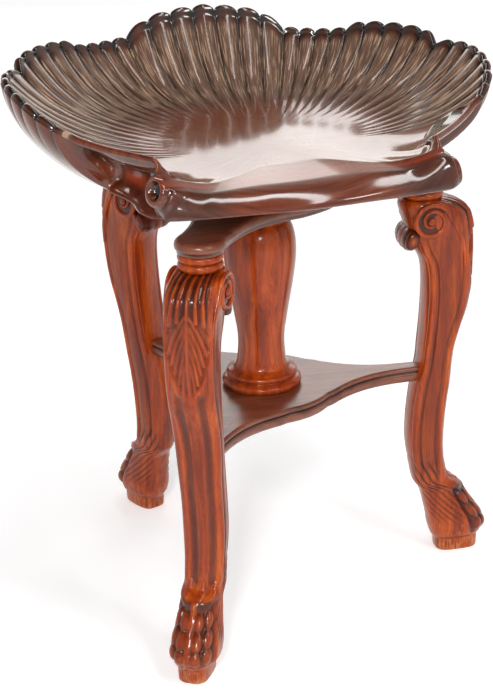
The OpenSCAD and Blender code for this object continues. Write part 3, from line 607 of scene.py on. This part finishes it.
def leg_ear(k):
    """A lobe of leaf that closes the scrolls under the inner side of the knee."""
    ear_reach, ear_z, ear_r, ear_half = 137.5, 323, 8.4, 20.5
    ring = np.linspace(0, 2 * np.pi, 56, endpoint=False)
    across = np.linspace(-ear_half, ear_half, 61)
    swell = knob(across, ear_half + 0.1) ** 0.4 * (ear_r + 0.5 * np.abs(np.cos(np.pi * across / 10)))
    grid = np.stack([np.column_stack([ear_reach + r * 0.9 * np.cos(ring) + 0.25 * r * np.sin(ring),
        np.full(len(ring), y), ear_z + r * 1.3 * np.sin(ring)])
        for y, r in zip(across, np.maximum(swell, 0.2))])
    dark_share = np.clip((swell - 8.8) * 1.6, -0.8, 0)
    return solid_of(turned_by(grid, neck_angles[k])[::-1], along_rows(dark_share, len(ring)))


def leg_neck(k):
    """Two turned rings between the knee and the frame."""
    steps, toward = 96, math.radians(neck_angles[k])
    bulge = np.radians(np.linspace(-85, 85, 12))
    rows = [(4, 349.5), (15.2, 349.5), (15.8, 358.6)]
    for ring_z in (362.5, 369.5):
        rows += [(16.2 + 2.8 * math.cos(a), ring_z + 3.5 * math.sin(a)) for a in bulge]
    rows += [(16, column_head), (4, column_head)]
    grid = lathe(np.array(rows), steps, (neck_reach * math.cos(toward), neck_reach * math.sin(toward)))
    dark_share = [0, 0, -0.9] + ([-0.9] + [0] * 10 + [-0.9]) * 2 + [-0.9, 0]
    return solid_of(grid, along_rows(dark_share, steps))


def leg_block(k):
    """The plain worn block under the paw."""
    block_reach, half_long, half_wide, steps = 189.63, 20.9, 13.8, 96
    turn = np.linspace(0, 2 * np.pi, steps, endpoint=False)
    rows = [(0.1, 0), (0.88, 0), (0.95, 0.3), (0.975, 1.2), (0.985, 3), (1.0, 9), (1.0, 17),
        (0.97, 19), (0.8, 20)]
    c, s = np.cos(turn), np.sin(turn)
    grid = np.stack([np.column_stack([block_reach + r * half_long * np.sign(c) * np.abs(c) ** 0.6,
        r * half_wide * np.sign(s) * np.abs(s) ** 0.6, np.full(steps, h)]) for r, h in rows])
    wear = along_rows([0.6, 0.7, 0.7, 0.62, 0.56, 0.5, 0.56, 0.66, 0.6], steps)
    return solid_of(turned_by(grid, paw_angles[k]), None, wear)


for k, which in enumerate(("front", "right", "rear")):
    shells = [carved_leg(k), leg_neck(k), leg_block(k), leg_ear(k)]
    shells += leg_scroll(k, 1) + leg_scroll(k, -1)
    piece("cabriole_leg_" + which, shells, "stand", "leg_" + which, upright_mahogany)


# Dowels and wedge
# Beech dowels hold the necks and the shelf's ends, and a beech wedge spreads the column's peg.
# They are bare, planed wood, glued in where nobody sees them.

def bare_beech(name):
    """Beech: pale, close wood with short brown flecks, planed and left bare."""
    material, tree, shader = new_material(name)
    place = join(tree, "TexCoord").outputs["Object"]
    # Flecks are 2 mm long and 0.2 mm wide. They are drawn about 7 mm by 1 mm, so that they show.
    line = join(tree, "Mapping", {"Vector": place, "Scale": (900, 900, 140)})
    fleck = join(tree, "TexNoise", {"Vector": line.outputs["Vector"], "Scale": 1,
        "Detail": 4})
    tone = stops(join(tree, "ValToRGB", {"Fac": fleck.outputs["Fac"]}),
        (0.35, "#8f6338"), (0.5, "#b88a58"), (0.7, "#c99d6b"))
    bump = join(tree, "Bump", {"Height": fleck.outputs["Fac"], "Strength": 0.3,
        "Distance": 0.0002})
    tree.links.new(tone, shader.inputs["Base Color"])
    tree.links.new(bump.outputs["Normal"], shader.inputs["Normal"])
    shader.inputs["Roughness"].default_value = 0.62
    return material


def dress(name, material):
    """Gives a node that keeps its own shape its material."""
    data = nodes[name].data
    data.materials.clear()
    data.materials.append(material)
    data.polygons.foreach_set("material_index", [0] * len(data.polygons))


beech = bare_beech("planed_beech")
for name in ("shelf_dowels", "neck_dowels", "column_wedge"):
    dress(name, beech)


# Screw and irons
# The nut and the plate are cast iron, blackened; the lifting screw, its washer and pins and the
# wood screws are turned steel, bright where they rub and brown with old oil elsewhere.

def old_metal(name, dark, light, rusty, grit, rough):
    """Iron or steel: dark scale or old oil over metal. The eye sees a dull skin, brighter where it
    is bare, with patches of rust and fine pits. grit is the pits' size in mm."""
    material, tree, shader = new_material(name)
    place = join(tree, "TexCoord").outputs["Object"]
    rust_size = 8
    patch = join(tree, "TexNoise", {"Vector": place, "Scale": 1000 / rust_size,
        "Detail": 6, "Roughness": 0.65})
    tone = stops(join(tree, "ValToRGB", {"Fac": patch.outputs["Fac"]}),
        (0.36, rusty), (0.5, dark), (0.66, light))
    # The pits are drawn at their real size: 0.4 mm in cast iron and 0.25 mm in turned steel.
    pits = join(tree, "TexNoise", {"Vector": place, "Scale": 1000 / grit, "Detail": 3})
    bump = join(tree, "Bump", {"Height": pits.outputs["Fac"], "Strength": 0.4,
        "Distance": 0.0002})
    worn = join(tree, "MapRange", {"Value": patch.outputs["Fac"], "From Min": 0.35,
        "From Max": 0.65, "To Min": rough + 0.2, "To Max": rough})
    for key, value in (("Base Color", tone), ("Roughness", worn.outputs["Result"]),
            ("Normal", bump.outputs["Normal"])):
        tree.links.new(value, shader.inputs[key])
    shader.inputs["Metallic"].default_value = 1.0
    return material


blackened_iron = old_metal("blackened_cast_iron", dark="#2e2b29", light="#494542",
    rusty="#3b241a", grit=0.4, rough=0.45)
oiled_steel = old_metal("oiled_turned_steel", dark="#6c6660", light="#9a948c",
    rusty="#4c3526", grit=0.25, rough=0.3)
for name in ("screw_nut", "seat_plate"):
    dress(name, blackened_iron)
for name in ("nut_screws", "stop_washer", "lift_screw", "stop_pin", "boss_pin", "plate_screws"):
    dress(name, oiled_steel)


# Seat
# The seat is a shell carved from a glued-up block of mahogany and stained dark: ribs run out to
# a scalloped rim, the front rolls over a lip, and two volutes close the lip's ends.

seat_mahogany = polished_mahogany("french_polished_mahogany_dark", dark="#42170c",
    mid="#622a18", light="#774027", pit="#150806", rubbed="#ad927d", along="y", rough=0.25,
    veil=1.0, worked=True)

half_w, seat_rise, seat_under, seat_turn = 213.0, 103.0, 405.3, 4.0
lip_reach, rim_t = 162.0, 8.4
# The ribs run out from one point behind the lip, this far in front of the screw's axis.
meet = 0.19 * half_w
# Turns are degrees away from the middle of the back, to either side: the ribbed back comes
# first, a plain side panel from side_turn on, and the front lip from corner_turn on.
side_turn, corner_turn = 106.0, 138.0
# The rim by turn: its reach as a share of half_w, and its height as a share of seat_rise.
rim_rows = [(0, 0.835, 1), (10, 0.84, 0.97), (17, 0.854, 0.922), (21, 0.866, 0.854),
    (24.5, 0.873, 0.777), (30, 0.887, 0.757), (37, 0.899, 0.762), (42, 0.908, 0.786),
    (46, 0.922, 0.84), (53, 0.943, 0.859), (60, 0.965, 0.859), (66, 0.979, 0.835),
    (69.5, 0.972, 0.767), (73, 0.995, 0.791), (80, 1.005, 0.806), (88, 0.995, 0.786),
    (94, 0.976, 0.748), (101, 0.943, 0.67), (106, 0.901, 0.583), (110, 0.868, 0.515),
    (117, 0.83, 0.476), (126, 0.802, 0.456), (136, 0.788, 0.437), (141, 0.79, 0.4)]
# The wall's foot by turn, as a share of half_w.
foot_rows = [(0, 0.6), (40, 0.64), (65, 0.72), (82, 0.755), (95, 0.715), (105, 0.69),
    (115, 0.685), (123, 0.71), (130, 0.78), (141, 0.85)]
# Groups of ribs: first turn, last turn and how many ribs lie between.
rim_lobes = [(0, 24.5, 3.5), (24.5, 42.5, 4), (42.5, 69.5, 5), (69.5, 106, 7)]

# 16 columns to a rib, and close ones again where the volutes are.
half_turns = np.concatenate([np.linspace(first, last, int(ribs * 16), endpoint=False)
    for first, last, ribs in rim_lobes] + [np.linspace(106, 126, 30, endpoint=False),
    np.linspace(126, 150, 76, endpoint=False), np.linspace(150, 180, 44)])
turns = np.concatenate([half_turns, -half_turns[-2:0:-1]])
away = np.abs(turns)
# rib is 0 on a rib's crest and -1 in the valley beside it. One rib stands in the middle of the back.
rib = np.ones(len(turns))
for number, (first, last, ribs) in enumerate(rim_lobes):
    inside = (away >= first) & (away < last)
    count = (away - first) / (last - first) * ribs + (0.5 if number == 0 else 0)
    rib = np.where(inside, np.abs(np.sin(np.pi * count)) ** 0.5, rib)
rib = rib - 1
# How much of each turn belongs to the front, the side panel and the back.
front = ease((away - corner_turn + 4) / 8)
side = ease((away - side_turn - 0.5) / 2.5) * (1 - front)
back = 1 - side - front
sin, cos = np.sin(np.radians(turns)), np.cos(np.radians(turns))
# The lip's plan: it swells in the middle and again at the volutes, with a shallow bay between.
from_middle = lip_reach * np.tan(np.radians(np.clip(180 - away, 0, 60)))
bay = 3 * np.sin(np.pi * np.clip(from_middle / 132, 0, 1)) ** 2
straight = (1.025 * lip_reach - bay) / np.maximum(0.01, -cos)
corner_reach = 215.5 + 13 * sin
# lip_out takes the nearer of the two, and rounds the corner between them.
lip_out = (straight ** -7 + corner_reach ** -7) ** (-1 / 7)
shoulder = 28 + 44 * ease((away - 140) / 28)
rim_reach, rim_height = spread(rim_rows, away).T
rim_r = half_w * rim_reach * (1 - front) + (lip_out - shoulder) * front
# How deep the valleys are cut, how far in they take the rim, and how much higher the left side is.
cut_depth, rim_cut, rim_lean = 4.0, 3.2, 0.038
scallop_r = rim_r + 0.6 * rib * rim_cut
rim_x, rim_y = sin * scallop_r, cos * scallop_r


def floor_z(x, y, u):
    """Height of the dish's floor. It falls a little to the front, where it runs out over the
    lip, and it rises under the ribs."""
    fall = 3.5 - 3 * ease((x + 30) / 80)
    return (26.5 - fall * np.clip((25 - y) / 135, 0, 1)
        + 4 * ease((u - 0.3) / 0.5) * ease((y + 30) / 60))


crest_z = floor_z(rim_x, rim_y, 1) + 10 * ease((151 - away) / 14)
rim_z = seat_rise * (rim_height - rim_lean * sin) * (1 - front) + crest_z * front
foot_r = half_w * spread(foot_rows, away)[:, 0]

# The dish, from its middle out to the rim. u is the share of the way.
columns, dark_shares, rubs = [], [], []
dish_shares = np.concatenate([np.linspace(0.04, 0.5, 14, endpoint=False),
    np.linspace(0.5, 0.985, 44)])
for u in dish_shares:
    px, py = rim_x * u, -meet + (rim_y + meet) * u
    steep = 4.5 - 1.5 * ease((away - 30) / 60) + 4.5 * ease((away - 102) / 26)
    rise = max(0, (u - 0.3) / 0.7) ** steep
    base = floor_z(px, py, u)
    depth = cut_depth * rib * ease((u - 0.4) / 0.42) * (1 - front)
    # A quirk along the crest over each side panel.
    quirk = -1.3 * knob(u - 0.955, 0.02) * ease((away - 112) / 10) * ease((148 - away) / 8)
    columns.append(np.column_stack([px - 0.6 * depth * sin, py - 0.6 * depth * cos,
        base + (rim_z - base) * rise + 0.8 * depth + quirk]))
    # Dirt darkens the valleys between the ribs. The band just under the rim is a painted dark
    # reflection of a dark ceiling.
    dark_shares.append((rib * ease((u - 0.4) / 0.3) - 0.75 * ease((u - 0.955) / 0.03)) * back + quirk * 0.3)
    rubs.append(0.4 * ease((u - 0.45) / 0.25) * ease((0.985 - u) / 0.03) * back)
# The rim: each rib turns over in a small rounded nose, and the side's crest is a bead. Below it
# the wall is a fluted bowl at the back, a deep cove at the side and the rolled lip in front.
nose_steps, wall_steps = 9, 52
for i in range(nose_steps + wall_steps):
    q = i / (nose_steps + wall_steps - 1)
    over = math.radians(90 * min(1, q / 0.6))
    under = math.radians(90 * max(0, (q - 0.6) / 0.4))
    tuck = 10 + 6 * ease((156 - away) / 16)
    swing = math.sin(over)
    roll_r = lip_out - shoulder + shoulder * swing - tuck * (1 - math.cos(under))
    # The lip falls a little as it comes out, and then turns over in a round roll.
    low = 7 + 4 * sin
    roll = max(0, (swing - 0.6) / 0.4)
    roll_z = (low + (crest_z - 0.055 * shoulder * swing - low) * (1 - roll ** 2) ** 0.5
        - (low - 4) * math.sin(under))
    if i < nose_steps:
        lean = math.radians(140 - 18 * i)
        nose = 3.7 + 0.9 * rib
        bowl_r = rim_r - 0.2 + 0.55 * rib * cut_depth + nose * math.cos(lean)
        bowl_z = rim_z - 4.4 + rib * cut_depth + nose * math.sin(lean)
        lean = math.radians(140 - 26 * i)
        cove_r = rim_r - 1.5 + 3.0 * math.cos(lean)
        cove_z = rim_z - 3.0 + 3.0 * math.sin(lean)
        # The noses are painted dark all over, a painted dark reflection of a dark ceiling, and darker
        # still with dirt in the valleys.
        dark_shares.append((rib - 0.7) * back)
    else:
        h = 0.93 * (1 - (i - nose_steps) / wall_steps) + 0.01
        bowl_r = (foot_r + (rim_r + rim_t / 2 - foot_r) * (1 - (1 - h) ** 2)
            + 0.8 * rib * cut_depth * h)
        bowl_z = rim_z * h + rib * cut_depth * h
        k = h * 0.93
        cove_r = (foot_r + (rim_r - 4 - foot_r) * k ** 1.6 - 15 * math.sin(math.pi * k)
            + 7 * ease((0.2 - k) / 0.14))
        cove_z = rim_z * k
        # The cove's upper part is painted dark under the crest: painted shade. A narrow band low in
        # the cove is darker, and the lip's front grows darker towards its ends.
        dark_shares.append(rib * back * ease(h / 0.3) - side * ease((k - 0.36) / 0.2)
            - 0.4 * side * ease((0.26 - k) / 0.06) * ease((k - 0.1) / 0.05)
            - 0.55 * front * ease((160 - away) / 9))
    r = back * bowl_r + side * cove_r + front * roll_r
    z = back * bowl_z + side * cove_z + front * roll_z
    columns.append(np.column_stack([r * sin, r * cos, z]))
    # The cove and the lip's roll have kept their colour, and the left crest's end is chipped.
    kept = side * within(k, 0.12, 0.46, 0.14) * within(away, 110, 131, 5) if i >= nose_steps else 0
    kept = np.maximum(kept, 0.55 * front * within(q, 0.02, 0.26, 0.1))
    chipped = 0.75 * np.clip(1 - np.abs(turns + 108.6) / 1.6, 0, 1) * (1 < i < 12)
    rubs.append(chipped - 0.8 * kept)
# The flat underside.
under_r = (foot_r - rim_t / 2) * (1 - front) + (lip_out - 24) * front
for near in (1, 0.6, 0.2):
    columns.append(np.column_stack([under_r * near * sin, under_r * near * cos, 0 * sin]))
    dark_shares.append(0 * sin)
    rubs.append(0 * sin)
grid, dark_shares, rubs = np.stack(columns), np.stack(dark_shares), np.stack(rubs)
row = np.arange(len(grid))[:, None]
# Each volute is worked into the corner: a bead curls round a hollow eye.
for way in (-1, 1):
    centre = np.array([132.0 * way + 8, -138 - 3.0 * way, 23.0 - 3 * way])
    axis = np.array([way * 0.87, -0.43, 0.2])
    axis /= np.linalg.norm(axis)
    up = np.array([0, 0, 1.0]) - axis[2] * axis
    up /= np.linalg.norm(up)
    across = np.cross(up, axis)
    gap = grid - centre
    gx, gy, gz = gap @ across, gap @ up, gap @ axis
    turn = np.arctan2(gy, way * gx)
    ring = np.hypot(gx, gy)
    thick = 3.5 - 0.9 * np.sin(turn)
    form = (3.0 * knob(ring - 10, thick) - 5 * knob(ring, 8) - 1.8 * knob(ring - 14.6, 2)
        + 1.2 * knob(ring - 18, 2.6))
    held = (1 - ease((ring - 12.5) / 9)) * (gz > -22) * (row > len(dish_shares) + 2)
    grid = grid + (held * (form - gz * (0.6 - 0.25 * way)))[..., None] * axis
    dark_shares = np.where(held > 0.1, np.clip(form / 3 * held, -1, 0) + dark_shares * (1 - held), dark_shares)
# The grain runs out along the ribs, and along the length of the lip. flow is in metres, and the
# way round is measured at a radius of flow_r.
flow_r = 0.19
round_it = np.broadcast_to(np.radians(turns) * flow_r, grid.shape[:2])
out_it = np.cumsum(np.vstack([np.zeros((1, len(turns))), np.linalg.norm(np.diff(grid, axis=0),
    axis=2)]), 0) / 1000
lip = (row >= len(dish_shares)) & (away > 130)
flow = np.dstack([np.where(lip, out_it, round_it), np.where(lip, round_it, out_it),
    0 * round_it])
grid = turned_by(grid + np.array([0, 0, seat_under]), seat_turn)
seat = piece("shell_seat", [solid_of(grid, dark_shares, rubs)], "seat", "seat_shell", seat_mahogany)
flow = np.vstack([flow.reshape(-1, 3), [flow[0].mean(0), flow[-1].mean(0)]])
seat.data.attributes.new("flow", "FLOAT_VECTOR", "POINT").data.foreach_set(
    "vector", flow.astype(np.float32).ravel())


# Floor, light and camera
# White paper lies under the stool on all sides. A small key lamp and a lower one stand to the left,
# a third to the right, a long narrow one hangs overhead and a broad one stands behind. The camera
# stands where the photograph was taken.

def seen_directly(tree, low, high):
    """high for what the camera or a reflection sees, and low for the light that falls."""
    ray = join(tree, "LightPath").outputs
    direct = join(tree, "Math", {0: ray["Is Camera Ray"], 1: ray["Is Glossy Ray"]},
        operation="MAXIMUM")
    direct = join(tree, "Math", {0: direct.outputs[0], 1: ray["Is Transmission Ray"]},
        operation="MAXIMUM")
    return join(tree, "MapRange", {"Value": direct.outputs[0], "To Min": low,
        "To Max": high}).outputs["Result"]


def pale_sweep():
    """Matt white paper for the floor. It glows a little, but only to the camera and in
    reflections, so that it looks white without more light on the stool."""
    material, tree, shader = new_material("white_paper")
    shader.inputs["Base Color"].default_value = linear("#f4f4f4")
    shader.inputs["Roughness"].default_value = 0.9
    shader.inputs["Specular IOR Level"].default_value = 0.0
    shader.inputs["Emission Color"].default_value = (1, 1, 1, 1)
    tree.links.new(seen_directly(tree, 0.0, 0.3), shader.inputs["Emission Strength"])
    return material


floor_half = 12
floor_mesh = bpy.data.meshes.new("floor")
floor_mesh.from_pydata([(x * floor_half, y * floor_half, 0) for x, y in
    ((-1, -1), (1, -1), (1, 1), (-1, 1))], [], [(0, 1, 2, 3)])
floor = bpy.data.objects.new("floor", floor_mesh)
bpy.context.scene.collection.objects.link(floor)
floor_mesh.materials.append(pale_sweep())

world = bpy.data.worlds.new("studio")
world.use_nodes = True
bpy.context.scene.world = world
tree = world.node_tree
# The room is a pale grey up to 27 degrees over the horizon, and a dark ceiling from 53 degrees on.
view = join(tree, "TexCoord").outputs["Generated"]
lift = join(tree, "SeparateXYZ", {"Vector": view}).outputs["Z"]
level = join(tree, "MapRange", {"Value": lift, "From Min": 0.45, "From Max": 0.8,
    "To Min": 0.7, "To Max": 0.12})
glow = tree.nodes["Background"]
glow.inputs["Color"].default_value = (1, 1, 1, 1)
tree.links.new(level.outputs["Result"], glow.inputs["Strength"])


def soft_lamp(name, place, target, size, power):
    """A soft box: a plain white area lamp that the camera doesn't see."""
    lamp = bpy.data.lights.new(name, "AREA")
    lamp.shape = "RECTANGLE"
    lamp.size, lamp.size_y = size
    lamp.energy = power
    thing = bpy.data.objects.new(name, lamp)
    thing.location = place
    thing.rotation_euler = (Vector(target) - Vector(place)).to_track_quat("-Z", "Y").to_euler()
    thing.visible_camera = False
    bpy.context.scene.collection.objects.link(thing)


soft_lamp("key_soft_box", (-0.62, -1.75, 1.35), (0, 0, 0.3), (0.28, 0.28), 21)
soft_lamp("low_soft_box", (-0.35, -2.3, 0.95), (0, 0, 0.35), (0.24, 0.24), 7)
soft_lamp("right_soft_box", (1.25, -1.75, 1.7), (0, -0.15, 0.42), (0.3, 0.3), 7)
soft_lamp("top_soft_box", (0.54, -0.45, 2.2), (0.48, -0.05, 0.4), (0.17, 2.9), 21)
soft_lamp("back_soft_box", (0.5, 2.7, 1.35), (0, 0, 0.4), (3.6, 0.84), 22)

camera = bpy.data.objects.new("camera", bpy.data.cameras.new("camera"))
bpy.context.scene.collection.objects.link(camera)
# The camera's own axes and its place, fitted to the legs, frame, shelf and floor that it sees.
right, up, ahead = ((0.977044, -0.212169, -0.019236), (0.098603, 0.370326, 0.923654),
    (0.188847, 0.904347, -0.382745))
place = (-0.32533, -1.51378, 0.87281)
camera.matrix_world = Matrix([[right[i], up[i], -ahead[i], place[i]] for i in range(3)]
    + [[0, 0, 0, 1]])
camera.data.sensor_fit = "HORIZONTAL"
camera.data.sensor_width = 36
camera.data.lens = 134.59
camera.data.shift_x = -0.00985
camera.data.shift_y = 0.00063
camera.data.clip_end = 60
bpy.context.scene.camera = camera
bpy.context.scene.view_settings.view_transform = "Standard"
